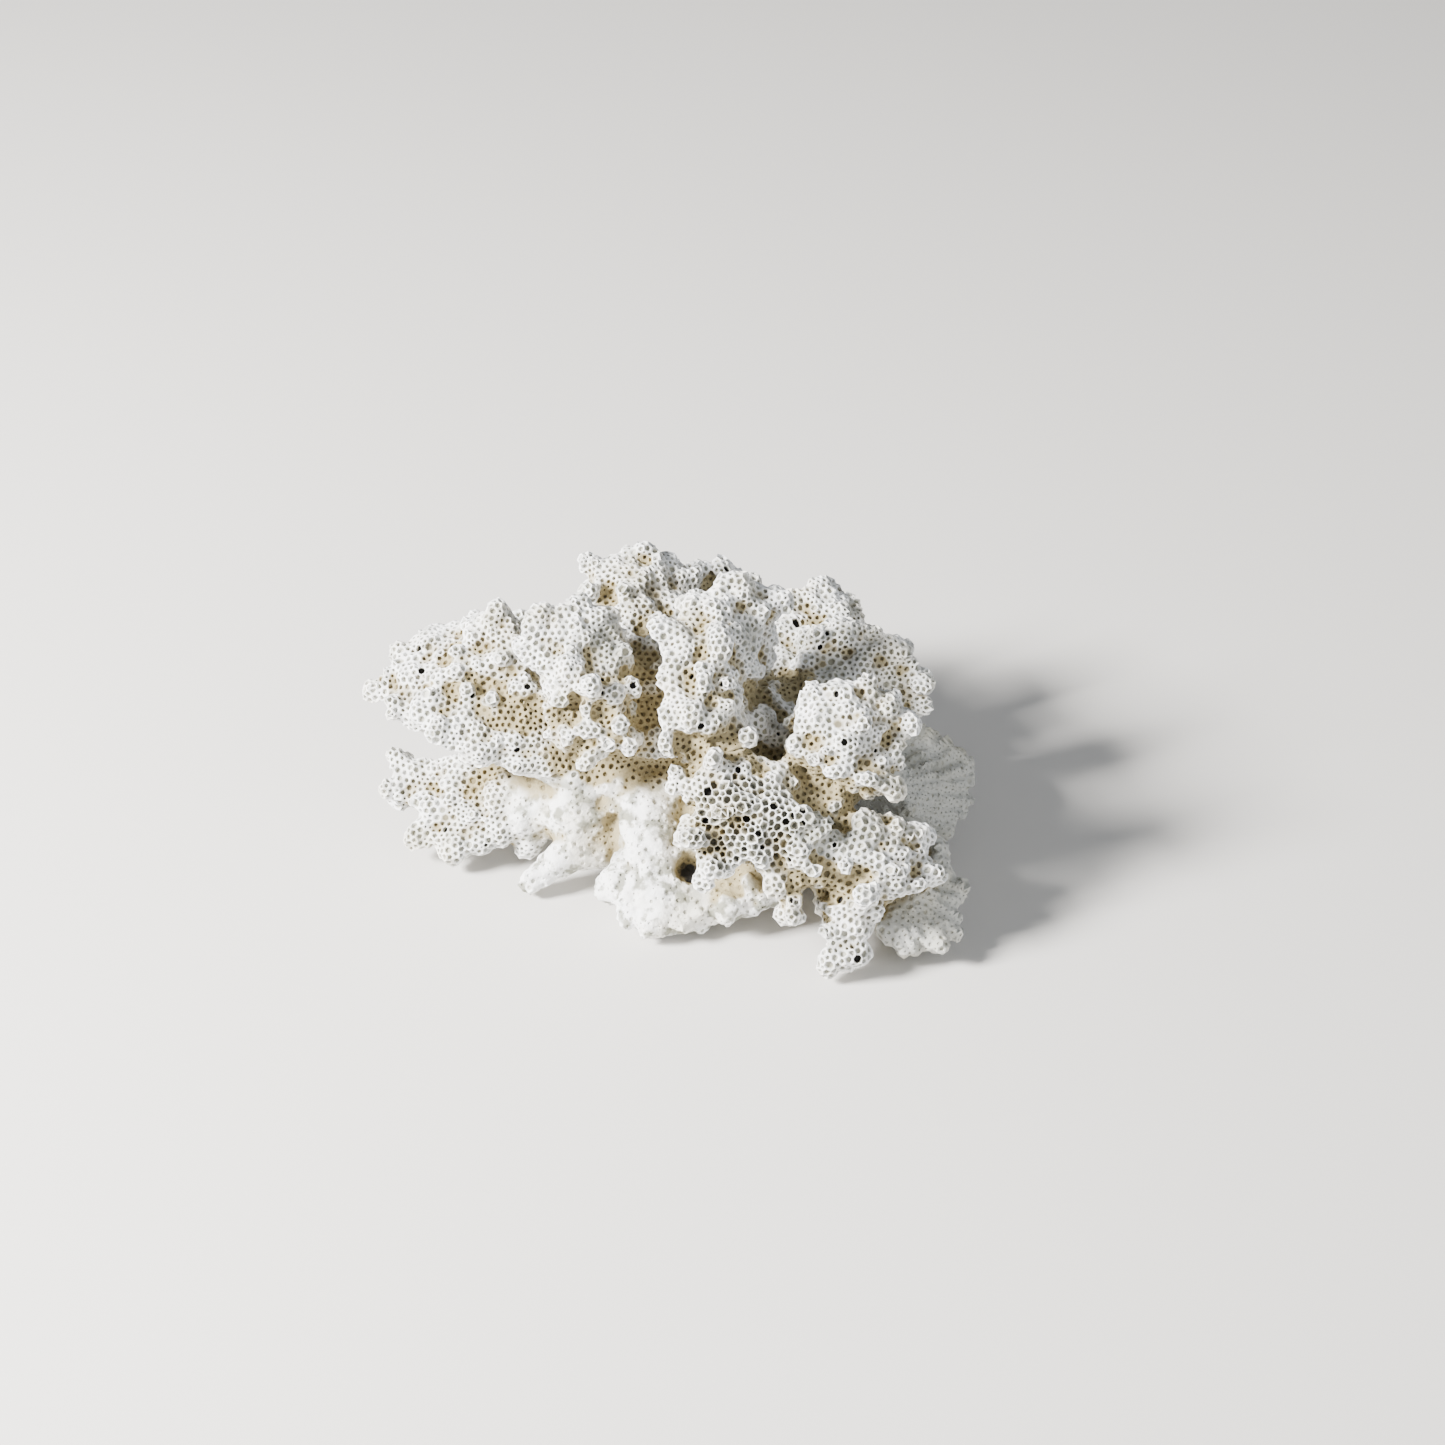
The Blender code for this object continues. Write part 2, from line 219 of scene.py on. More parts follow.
# The old skin of the trunk, which sank in grooves between its limbs and where a worm lived.
# Each row is (x, y, z, radius, depth) in millimetres, and is pressed into the skin.
SUNKEN = [
    (-14, -13.5, 21.5, 2.2, 1.3),
    (-12.5, -14.6, 17.8, 2.2, 1.5),
    (-9.8, -15.6, 14, 2.3, 1.6),
    (-8.4, -18.8, 12, 2.2, 1.4),
    (-7.4, -23, 10.5, 2.0, 1.1),
    (3.6, -25, 11, 3.4, 2.6),
    (-17.9, -13.5, 34, 2.0, 4.0),
]


def points_of(mesh):
    """The corners of a mesh as rows of numbers."""
    places = np.empty(len(mesh.vertices) * 3)
    mesh.vertices.foreach_get("co", places)
    return places.reshape(-1, 3)


def normals_of(mesh):
    """The way each corner of a mesh faces, as rows of numbers."""
    normals = np.empty(len(mesh.vertices) * 3)
    mesh.vertex_normals.foreach_get("vector", normals)
    return normals.reshape(-1, 3)


def set_points(mesh, places):
    """Moves the corners of a mesh to these places."""
    mesh.vertices.foreach_set("co", places.ravel())
    mesh.update()


skin = skeleton.data
places = points_of(skin)
normals = normals_of(skin)
for x, y, z, radius, depth in SUNKEN:
    away = np.linalg.norm(places - np.array((x, y, z)) * MM, axis=1)
    near = np.clip(1 - (away / (radius * MM)) ** 2, 0, 1)
    places -= normals * (near * depth * MM)[:, None]
set_points(skin, places)

# The fans low on the right are thinner and duller, with ribs that spread from their forks.
# Each row is the fork that a fan's ribs start from, and the ribs fade in with distance.
FANS = {
    "far_right_branch": Vector((31.5, -1, 11)) * MM,
    "low_right_branch": Vector((34, -19, 8.5)) * MM,
}
RIBS = 46
RIB_HEIGHT = 0.7 * MM
RIB_START = (4 * MM, 9 * MM)
FAN_BACK = 0.57
FAN_UP = 0.82
FAN_SINK = 0.4 * MM

# The knobs, blunt outgrowths two to four millimetres across that crowd the rims and lower
# edges of the branches and lean to the tips. Each row is the spacing, least and most height,
# least and most radius, in millimetres, and the share that stands on open faces.
KNOBS = [
    (5.6, 0.7, 1.5, 2.2, 3.2, 0.6),
    (3.3, 1.3, 2.3, 1.3, 2.0, 0.3),
    (2.2, 0.9, 1.7, 0.9, 1.3, 0.35),
]
# The knobs that the photograph shows one by one, as (x, y, z, width, height), the last two
# as the camera sees them.
PLACED_KNOBS = [
    (-14, -16, 34.5, 5.8, 3.4),
    (-10.5, -18.5, 33, 2.4, 2.8),
    (-7, -17.5, 32, 3.2, 3.6),
    (-8.5, -16, 35.5, 3.4, 3.8),
    (-0.5, -25, 38, 2.6, 5.4),
    (4, -24, 43, 4.2, 6),
    (9.5, -21, 43, 4.6, 2.6),
    (-19, -13.5, 39, 3.8, 2.8),
    (-14.5, -14, 37.5, 2.4, 3.4),
    (-13.5, -15, 43.5, 4, 4),
    (10, -18, 45.5, 3.6, 2.6),
    (21, -15, 35, 3.2, 3.2),
    (19.5, -12, 28.5, 3, 3),
    (4, -36.5, 26.5, 5, 4.2),
    (7.5, -38.5, 21.5, 5, 4.2),
    (6, -38, 18.5, 4.2, 4.6),
    (22, -37, 24.5, 5, 3.2),
    (18, -38.5, 18, 4.8, 5.6),
    (24.5, -39, 21.5, 3, 2.6),
    (30, -37, 21, 3, 3.4),
    (28.5, -29, 35, 5.2, 3),
    (34, -30, 34, 4, 2.8),
    (36.5, -29.5, 32.5, 3.4, 2.4),
    (21, -40.5, 13.5, 2.8, 4.6),
    (21.5, -39.5, 15.5, 3, 3),
    (14, -28.5, 10.5, 3, 3),
    (26, -35.5, 11.5, 3, 2.2),
    (42.5, -37, 17, 3.2, 2.8),
    (48, -28, 13, 2.6, 2.4),
    (-30, 0, 38.5, 3.6, 3),
    (-36, -3, 34, 3.2, 2.6),
    (-31.5, -4.5, 33, 2.6, 3),
    (-38, 3, 38, 3.2, 3),
]
PLACED_DEPTH = 1.7 * MM
PLACED_CLEAR = 3 * MM
PLACED_MARGINS = (0.5 * MM, 1.2 * MM)
CAMERA_TILT = math.radians(35)
CAMERA_DISTANCE = 0.508
CAMERA_AIM = Vector((9.1, -33.15, 48)) * MM
TO_CAMERA = Vector((0, -math.cos(CAMERA_TILT), math.sin(CAMERA_TILT)))
EYE = CAMERA_AIM + TO_CAMERA * CAMERA_DISTANCE

# The skin between the knobs sinks by as much as the knobs fill, and is craggy all over.
SINK = 1.0 * MM
CRAG = 1.5 * MM
CRAG_SCALE = 300
FINE_CRAG = 0.6
FINE_CRAG_SCALE = 700

# Knobs lean away from the heart of the colony and a little up, thin out towards the old stem
# and between their patches, and crowd the root edge along the front.
HEART = Vector((1, -4, 8)) * MM
KNOB_LEAN = 0.4
KNOB_RISE = 0.15
KNOB_ROOT = 0.9 * MM
LOWEST_KNOB = 2.5 * MM
ROOT_EDGE_FRONT = -27 * MM
ROOT_EDGE_TOP = 11 * MM
ROOT_EDGE_YOUTH = 0.6
PATCH_SCALE = 170
PATCHES = (0.42, 0.62)
RIM_REACH = 4 * MM
RIM_JUT = (0.5 * MM, 1.3 * MM)
RIM_SHARE = 0.6
SLIMMEST = 0.75
HANDFUL = 40
KNOB_GRID = 0.42 * MM
KNOB_SOFTENING = 2
BOX_MARGIN = 0.02 * MM

dice = random.Random(7)


def well_spaced(places, spacing):
    """Picks places in a random order, none nearer to another than the spacing."""
    order = list(range(len(places)))
    dice.shuffle(order)
    taken = {}
    picked = []
    steps = [(a, b, c) for a in (-1, 0, 1) for b in (-1, 0, 1) for c in (-1, 0, 1)]
    for i in order:
        cell = tuple(int(value // spacing) for value in places[i])
        around = (taken.get((cell[0] + a, cell[1] + b, cell[2] + c), ()) for a, b, c in steps)
        gaps = [places[i] - places[j] for group in around for j in group]
        if all(gap @ gap > spacing * spacing for gap in gaps):
            taken.setdefault(cell, []).append(i)
            picked.append(i)
    return picked


skin_points = KDTree(len(places))
for i, place in enumerate(places):
    skin_points.insert(place, i)
skin_points.balance()
unsunk = places.copy()
low = np.array(packed_box[0]) + BOX_MARGIN
high = np.array(packed_box[1]) - BOX_MARGIN
low[2] = 0.0


def jut(place, normal):
    """How far a place stands out from the middle of the skin round it."""
    around = [i for _, i, _ in skin_points.find_range(place, RIM_REACH)]
    return normal.dot(place - Vector(unsunk[around].mean(axis=0)))


for i, place in enumerate(unsunk):
    name = node_names[owner(place)]
    crag = CRAG * noise.noise(Vector(place) * CRAG_SCALE)
    crag += FINE_CRAG * CRAG * noise.noise(Vector(place) * FINE_CRAG_SCALE)
    lift = (crag - SINK) * youth(Vector(place))
    if name in FANS:
        x, y, z = Vector(place) - FANS[name]
        turn = math.atan2(FAN_UP * z + FAN_BACK * y, x)
        lift = -FAN_SINK + RIB_HEIGHT * math.sin(RIBS * turn) * ramp(x, *RIB_START)
    places[i] += normals[i] * lift
set_points(skin, places)

placed = [Vector(row[:3]) * MM for row in PLACED_KNOBS]
knobs = []
for spacing, least, most, slim, stout, on_faces in KNOBS:
    for i in well_spaced(unsunk, spacing * MM):
        place = Vector(places[i])
        normal = Vector(normals[i])
        if any((place - other).length < PLACED_CLEAR for other in placed):
            continue
        young = youth(place)
        if place.y < ROOT_EDGE_FRONT and place.z < ROOT_EDGE_TOP:
            young = max(young, ROOT_EDGE_YOUTH)
        patch = ramp(noise.noise(place * PATCH_SCALE) * 0.5 + 0.5, *PATCHES)
        rim = ramp(jut(Vector(unsunk[i]), normal), *RIM_JUT)
        face_share = 0.0 if node_names[owner(place)] in FANS else on_faces * (0.4 + patch)
        if dice.random() > young * (face_share + RIM_SHARE * rim) or place.z < LOWEST_KNOB:
            continue
        outward = (place - HEART).normalized()
        axis = (normal + outward * KNOB_LEAN + Vector((0, 0, KNOB_RISE))).normalized()
        height = dice.uniform(least, most) * MM * (0.5 + 0.5 * young) * (0.75 + 0.25 * rim)
        tips = [place + axis * height * share for share in (1, 0.8, 0.6, 0.4)]
        inside = [tip for tip in tips if all(low < np.array(tip)) and all(np.array(tip) < high)]
        if inside:
            height = (inside[0] - place).length
            knobs.append((inside[0], axis, height, dice.uniform(slim, stout) * MM))
crowd = bmesh.new()
crowd.from_mesh(skin)
for first in range(0, len(knobs), HANDFUL):
    handful = bmesh.new()
    for tip, axis, height, radius in knobs[first : first + HANDFUL]:
        half = height + KNOB_ROOT
        turned = axis.to_track_quat("Z", "Y").to_matrix().to_4x4()
        turned @= Matrix.Rotation(dice.uniform(0, math.pi), 4, "Z")
        flatness = dice.uniform(SLIMMEST, 1)
        stretched = Matrix.Diagonal((radius * flatness, radius / flatness, half, 1))
        bmesh.ops.create_icosphere(
            handful,
            subdivisions=2,
            radius=1,
            matrix=Matrix.Translation(tip - axis * half) @ turned @ stretched,
        )
    add_to(crowd, handful)
handful = bmesh.new()
facing = TO_CAMERA.to_track_quat("Z", "Y").to_matrix().to_4x4()
for place, (_, _, _, width, height) in zip(placed, PLACED_KNOBS):
    stretched = Matrix.Diagonal((width * MM / 2, height * MM / 2, PLACED_DEPTH, 1))
    inside = Vector(np.clip(place, low + PLACED_MARGINS[0], high - PLACED_MARGINS[1]))
    moved = Matrix.Translation(inside) @ facing @ stretched
    bmesh.ops.create_icosphere(handful, subdivisions=2, radius=1, matrix=moved)
add_to(crowd, handful)
crowd.to_mesh(skin)
crowd.free()
melted(skeleton, KNOB_GRID, KNOB_SOFTENING)
without_bubbles(skeleton.data)

# The net of polyps over the skin, one cell for each cup. Polyps share the room evenly, so
# the cells are much the same size, with five, six or seven sides.
CUP_SPACING = 1.38 * MM
SPACING_WANDER = 0.2
WANDER_SCALE = 260
OPEN_MIDDLE = Vector((13, -35, 28)) * MM
OPEN_REACH = (7 * MM, 11 * MM)
RIGHT_REACH = (20 * MM, 28 * MM)
FRONT_REACH = (26 * MM, 32 * MM)
WIDER_THERE = 0.15
NET_ROUNDS = 4
TOO_LONG = 1.36
TOO_SHORT = 0.74
SLIDES = 3
SLIDE_SHARE = 0.6

skin = skeleton.data
skin_tree = BVHTree.FromPolygons(
    points_of(skin).tolist(), [polygon.vertices[:] for polygon in skin.polygons]
)
net = skeleton.copy()
net.data = skin.copy()
bpy.context.scene.collection.objects.link(net)
skin_area = sum(polygon.area for polygon in skin.polygons)
cups_wanted = skin_area / (CUP_SPACING**2 * math.sqrt(3) / 2)
thin = net.modifiers.new("thin", "DECIMATE")
thin.ratio = cups_wanted / len(skin.polygons)
applied(net)


def local_spacing(place):
    """How far apart the polyps sit at a place."""
    wander = 1 + SPACING_WANDER * noise.noise(place * WANDER_SCALE)
    front_right = ramp(place.x, *RIGHT_REACH) * ramp(-place.y, *FRONT_REACH)
    in_front = 1 - ramp((place - OPEN_MIDDLE).length, *OPEN_REACH)
    return CUP_SPACING * wander * (1 + WIDER_THERE * max(front_right, in_front))


def shared_neighbours(edge):
    """How many corners the two ends of an edge both touch."""
    first, second = edge.verts
    around = {link.other_vert(first) for link in first.link_edges}
    return sum(link.other_vert(second) in around for link in second.link_edges)


def stretch(edge):
    """An edge's length in units of the spacing there."""
    first, second = edge.verts
    return edge.calc_length() / local_spacing((first.co + second.co) / 2)


def collapse_short(shape, shortest):
    """Merges the ends of short edges, no two of them next to each other."""
    lengths = [(stretch(edge), edge.index, edge) for edge in shape.edges]
    touched = set()
    chosen = []
    for _, _, edge in sorted(row for row in lengths if row[0] < shortest):
        ring = {link.other_vert(v) for v in edge.verts for link in v.link_edges}
        ring.update(edge.verts)
        if ring & touched or shared_neighbours(edge) != 2:
            continue
        touched |= ring
        chosen.append(edge)
    bmesh.ops.collapse(shape, edges=chosen)


def relaxed(mesh, tree, factor):
    """Slides every corner of the net towards the middle of its neighbours, on the skin."""
    places = points_of(mesh)
    ends = np.empty(len(mesh.edges) * 2, np.int32)
    mesh.edges.foreach_get("vertices", ends)
    ends = ends.reshape(-1, 2)
    total = np.zeros_like(places)
    count = np.zeros(len(places))
    for a, b in ((0, 1), (1, 0)):
        np.add.at(total, ends[:, a], places[ends[:, b]])
        np.add.at(count, ends[:, a], 1)
    wanted = places + factor * (total / np.maximum(count, 1)[:, None] - places)
    for i, place in enumerate(wanted):
        wanted[i] = tree.find_nearest(place)[0]
    set_points(mesh, wanted)


for _ in range(NET_ROUNDS):
    shape = bmesh.new()
    shape.from_mesh(net.data)
    bmesh.ops.triangulate(shape, faces=shape.faces[:])
    long = [edge for edge in shape.edges if stretch(edge) > TOO_LONG]
    bmesh.ops.subdivide_edges(shape, edges=long, cuts=1)
    bmesh.ops.triangulate(shape, faces=shape.faces[:])
    shape.edges.index_update()
    collapse_short(shape, TOO_SHORT)
    bmesh.ops.beautify_fill(shape, faces=shape.faces[:], edges=shape.edges[:], method="AREA")
    shape.to_mesh(net.data)
    shape.free()
    for _ in range(SLIDES):
        relaxed(net.data, skin_tree, SLIDE_SHARE)

dual = bpy.data.node_groups.new("cells", "GeometryNodeTree")
dual.interface.new_socket("Geometry", in_out="INPUT", socket_type="NodeSocketGeometry")
dual.interface.new_socket("Geometry", in_out="OUTPUT", socket_type="NodeSocketGeometry")
way_in = dual.nodes.new("NodeGroupInput")
way_out = dual.nodes.new("NodeGroupOutput")
cells_node = dual.nodes.new("GeometryNodeDualMesh")
dual.links.new(way_in.outputs[0], cells_node.inputs["Mesh"])
dual.links.new(cells_node.outputs[0], way_out.inputs[0])
net.modifiers.new("cells", "NODES").node_group = dual
applied(net)

# The walls between the cups, which stand unevenly and wear rough, the old ones most. The
# underside of the stem is the flat cut where the colony came off the reef, and it rests on it.
WALL_JITTER = 0.11 * MM
OLD_JITTER = 0.6
OLD_ROUGHNESS = 0.75 * MM
OLD_SCALE = 420
FINE_OLD_SCALE = 1100
YOUNG_ROUGHNESS = 0.5 * MM
YOUNG_SCALE = 800
CUT_FLAT = 0.4 * MM
places = points_of(net.data)
normals = normals_of(net.data)
for i, place in enumerate(places):
    on_skin = skin_tree.find_nearest(place)[0]
    old = 1 - youth(on_skin)
    worn = noise.noise(on_skin * OLD_SCALE) + 0.5 * noise.noise(on_skin * FINE_OLD_SCALE)
    rough = old * OLD_ROUGHNESS * worn
    rough += (1 - old) * YOUNG_ROUGHNESS * noise.noise(on_skin * YOUNG_SCALE)
    jitter = WALL_JITTER * dice.uniform(-0.5, 1) * (1 + OLD_JITTER * old)
    places[i] = np.array(on_skin) + normals[i] * (rough + jitter)
places[places[:, 2] < CUT_FLAT, 2] = 0.0
set_points(net.data, np.clip(places, low, high))

# Each cell's own facts, which its cup and its colour follow: the branch it is on, how hollow
# its place is, how young it is, and how thick the coral is there.
HOLLOW_REACH = 13 * MM
HOLLOW_RAYS = 24
SPIRAL_TURN = math.radians(137.5)
RAY_LIFT = 0.4
FAR_LOSS = 0.6
PROBE_START = 0.3
THICKEST = 8 * MM
rays = []
for i in range(HOLLOW_RAYS):
    up = 1 - (i + 0.5) / HOLLOW_RAYS
    turn = i * SPIRAL_TURN
    flat = math.sqrt(1 - up * up)
    rays.append(Vector((flat * math.cos(turn), flat * math.sin(turn), up)))


def hollow_at(place, normal):
    """The share of the outward rays that meet the coral again soon."""
    start = skin_tree.find_nearest(place)[0] + normal * RAY_LIFT * MM
    lay = normal.to_track_quat("Z", "Y")
    met = 0.0
    for ray in rays:
        gap = skin_tree.ray_cast(start, lay @ ray, HOLLOW_REACH)[3]
        if gap is not None:
            met += 1 - FAR_LOSS * gap / HOLLOW_REACH
    return met / HOLLOW_RAYS


facts = []
for polygon in net.data.polygons:
    place = polygon.center.copy()
    normal = polygon.normal.copy()
    under = place - normal * PROBE_START * MM
    through = skin_tree.ray_cast(under, -normal, THICKEST)[3]
    facts.append(
        {
            "place": place,
            "owner": owner(place),
            "hollow": hollow_at(place, normal),
            "young": youth(place),
            "normal": normal,
            "thick": through if through is not None else THICKEST,
            "flat": max(net.data.vertices[v].co.z for v in polygon.vertices) == 0.0,
        }
    )

neighbours = [[] for _ in facts]
cells_at_edge = {}
for index, polygon in enumerate(net.data.polygons):
    for key in polygon.edge_keys:
        cells_at_edge.setdefault(key, []).append(index)
for pair in cells_at_edge.values():
    if len(pair) == 2:
        neighbours[pair[0]].append(pair[1])
        neighbours[pair[1]].append(pair[0])

# How far each cell stands out from the cells round it, from -1 in a dip to 1 on a knob.
RELIEF_STEPS = 5
RELIEF_SCALE = 0.7 * MM
evened = np.array([fact["place"] for fact in facts])
for _ in range(RELIEF_STEPS):
    evened = np.array([evened[[i, *around]].mean(axis=0) for i, around in enumerate(neighbours)])
for fact, middle in zip(facts, evened):
    stands = fact["normal"].dot(fact["place"] - Vector(middle))
    fact["relief"] = min(1.0, max(-1.0, stands / RELIEF_SCALE))

# Places of painted colour: tan, partly the stain of the dried tissue and the reef and partly
# painted shade; paler, as painted light; holes painted black as painted shade; or a dull grey
# green, partly tint and partly painted shade. Each is (x, y, z, radius) in millimetres.
STAIN_AND_SHADE_GAIN = 0.5
PAINTED_LIGHT_LOSS = 0.6
HOLE_SHADE_DARKNESS = 2.1
# Tan, partly stain and partly painted shade.
TAN_STAIN_AND_SHADE_PLACES = [
    (-19, -16, 31, 4), (-19.5, -12, 24.5, 3.5), (-14, -13, 23, 4), (-21.5, -13, 35, 4),
    (-26.5, -6, 31.5, 4), (-3, -10, 23, 3.5), (8, -24.5, 40, 3), (3.5, -24.5, 37, 3),
    (15.5, -26.5, 35, 2.5), (30, -29.5, 32.5, 3), (22.5, -39, 18, 3), (27, -38, 19, 3),
    (18.5, 5, 28.5, 4), (9.5, -29, 9, 2.5), (7, -14, 34, 5), (-8, -13, 27, 3),
    (23.5, 1.5, 33, 4), (21, -1.5, 30.5, 3), (13, -9, 36, 3),
]
# Painted light: places painted paler, with less tan, where light falls.
PAINTED_LIGHT_PLACES = [(15.5, -13, 34, 5), (18, -13, 31, 4)]
# Painted shade: holes painted black in their depths.
SHADE_HOLES = [(3.5, -24.5, 9.5, 2.9), (-18, -13, 34, 2), (21, -38, 15.5, 1.2)]
# Dull grey green, partly the coral's tint and partly painted shade.
DULL_TINT_AND_SHADE_PLACES = [
    (29, 4, 32, 3.5), (26.5, -35, 27, 6), (-10.5, -5.5, 46, 5), (31, -32.5, 25, 5),
    (14, -7.5, 48, 4), (-5.5, -9, 35, 3), (-8, -19, 10, 4), (-16, -15, 20, 4), (4, -28, 6, 4),
    (23.5, 16.5, 29, 4),
]


def nearness(place, spots):
    """1 in the middle of the nearest of some round spots, and 0 outside them."""
    far = [(place - Vector(spot[:3]) * MM).length / (spot[3] * MM) for spot in spots]
    return 1 - ramp(min(far), 0.4, 1.3)


# Tan is added where it is listed, partly stain and partly painted shade, and taken off where
# painted light is listed. The holes get painted black shade.
for fact in facts:
    place = fact["place"]
    fact["hollow"] = min(1.0, fact["hollow"] + STAIN_AND_SHADE_GAIN * nearness(place, TAN_STAIN_AND_SHADE_PLACES))
    fact["hollow"] = max(0.0, fact["hollow"] - PAINTED_LIGHT_LOSS * nearness(place, PAINTED_LIGHT_PLACES))
    in_fan = 1.0 if node_names[fact["owner"]] in FANS else 0.0
    fact["dull"] = max(in_fan, nearness(place, DULL_TINT_AND_SHADE_PLACES))
    fact["burrow"] = HOLE_SHADE_DARKNESS * nearness(place, SHADE_HOLES)

# Cells on the edge between two branches are evened out, so that the forks run clean, and an
# island of a few cells goes to the branch round it.
VOTES = 4
SMALLEST_PATCH = 150
for _ in range(VOTES):
    voted = []
    for index, fact in enumerate(facts):
        votes = [facts[n]["owner"] for n in neighbours[index]] + [fact["owner"]]
        voted.append(max(set(votes), key=lambda v: (votes.count(v), v == fact["owner"])))
    for fact, vote in zip(facts, voted):
        fact["owner"] = vote
unseen = set(range(len(facts)))
while unseen:
    front = [min(unseen)]
    unseen.discard(front[0])
    island = []
    while front:
        cell = front.pop()
        island.append(cell)
        for other in neighbours[cell]:
            if other in unseen and facts[other]["owner"] == facts[cell]["owner"]:
                unseen.discard(other)
                front.append(other)
    if len(island) < SMALLEST_PATCH:
        outside = [facts[n]["owner"] for c in island for n in neighbours[c]]
        outside = [o for o in outside if o != facts[island[0]]["owner"]]
        for cell in island:
            facts[cell]["owner"] = max(set(outside), key=outside.count)

# The cups. Each polyp sat in a small open cup with a thin wall round it: wide and deep on
# the front lobe, thicker walled elsewhere, and a mere dimple on the old stem and the fans.
# Each row is the half width of the wall, how far the lip slopes, and the depth.
CUPS = {
    "open": (0.1 * MM, 0.03 * MM, 1.1 * MM),
    "crest": (0.25 * MM, 0.06 * MM, 0.6 * MM),
    "shaded": (0.32 * MM, 0.05 * MM, 0.5 * MM),
    "dimple": (0.42 * MM, 0.03 * MM, 0.22 * MM),
}
# How dark the floors of each kind of cup are painted, as painted shade at the bottom of the
# recess.
FLOOR_DARKNESS = {
    "open": (1.15, 1.65),
    "crest": (0.6, 1.2),
    "shaded": (0.6, 1.1),
    "dimple": (0.2, 0.8),
}
WALL_SPREAD = (0.65, 1.35)
OPENING = (0.25, 0.87)
ROUNDING = 0.3
DEPTH_SPREAD = (0.75, 1.25)
DEEPEST_SHARE = 0.22
FLOOR_SHARE = 0.72
# The lip ring of each cup gets a little painted shade.
LIP_DARKNESS = 0.15

# A few cups are bored right in and painted black, as painted shade in their depths: the ones
# placed here, and some by chance.
DEEP_CHANCE = 0.004
DEEP_YOUTH = 0.5
DEEP_WALL = 0.8
DEEP_REACH = 0.8 * MM
DEEP_DARKNESS = 2.0
DEEP_FLOOR_SHARE = 0.95
SIGHT_SLACK = 5 * MM
BLACK_CUPS = [
    (-11.5, -15, 41.5), (-7, -12, 41), (-5, -4, 36.5), (-4.5, 4.5, 32), (-5.5, -9, 34.5),
    (8.5, -18.5, 46), (12, -15.5, 45), (13.5, -9, 36), (19.5, 0.5, 28), (6, -34.5, 29),
    (6, -35, 28), (6.5, -32.5, 31), (7, -32, 32.5), (12.5, -32.5, 34), (11.5, -29, 35),
    (18, -33.5, 31), (12.5, -35, 30), (13.5, -35.5, 29.5), (15, -36.5, 27.5), (16, -38, 26),
    (20.5, -34.5, 29.5), (19.5, -35.5, 28.5), (20.5, -37, 25.5), (20.5, -37.5, 23.5),
    (20.5, -38, 22.5), (23.5, -34.5, 30.5), (23.5, -35, 28.5), (28.5, -35.5, 24),
    (21, -39, 15), (27.5, -38, 17), (30, -27.5, 40), (28, -19.5, 44.5),
]

# Where one kind of cup gives way to another, and how far that line wavers.
STEM_YOUTH = 0.35
STEM_WAVER = 0.2
STEM_CUP_CHANCE = 0.7
OPEN_WAVER = (0.2, 0.8)
SHADE_LINE = 0.45
SHADE_WAVER = 0.08
SHADE_OF_AGE = 1.1


def cup_kind(fact):
    """Which of the cups a cell has, or none."""
    if fact["flat"]:
        return None
    if fact["young"] < STEM_YOUTH + dice.uniform(-STEM_WAVER, STEM_WAVER):
        return "dimple" if dice.random() < STEM_CUP_CHANCE else None
    if node_names[fact["owner"]] in FANS:
        return "dimple"
    near_front = 1 - ramp((fact["place"] - OPEN_MIDDLE).length, *OPEN_REACH)
    if near_front > dice.uniform(*OPEN_WAVER):
        return "open"
    shade = max(fact["hollow"], SHADE_OF_AGE - fact["young"])
    line = SHADE_LINE + dice.uniform(-SHADE_WAVER, SHADE_WAVER)
    return "shaded" if shade > line else "crest"


for fact in facts:
    sound = min(fact["young"], 1 - fact["dull"]) > DEEP_YOUTH
    fact["deep"] = sound and dice.random() < DEEP_CHANCE
for spot in BLACK_CUPS:
    seen = skin_tree.ray_cast(EYE, Vector(spot) * MM - EYE)[0]
    if seen is not None and (seen - Vector(spot) * MM).length < SIGHT_SLACK:
        min(facts, key=lambda fact: (fact["place"] - seen).length)["deep"] = True

# The skins, one for each packed branch, which show in its place. The real coral is one piece,
# so each skin takes the cells that are its own, meets its neighbours along shared edges, and
# is closed inside the coral, where its edge is tucked in. The sizes are in millimetres.
LAYERS = ("hollow", "relief", "young", "pit", "dull")
FACT_LAYERS = ("hollow", "relief", "young", "dull")
RIM_TUCK = 0.9
CAP_DEPTH = 1.5
SHARP_ANGLE = math.radians(55)


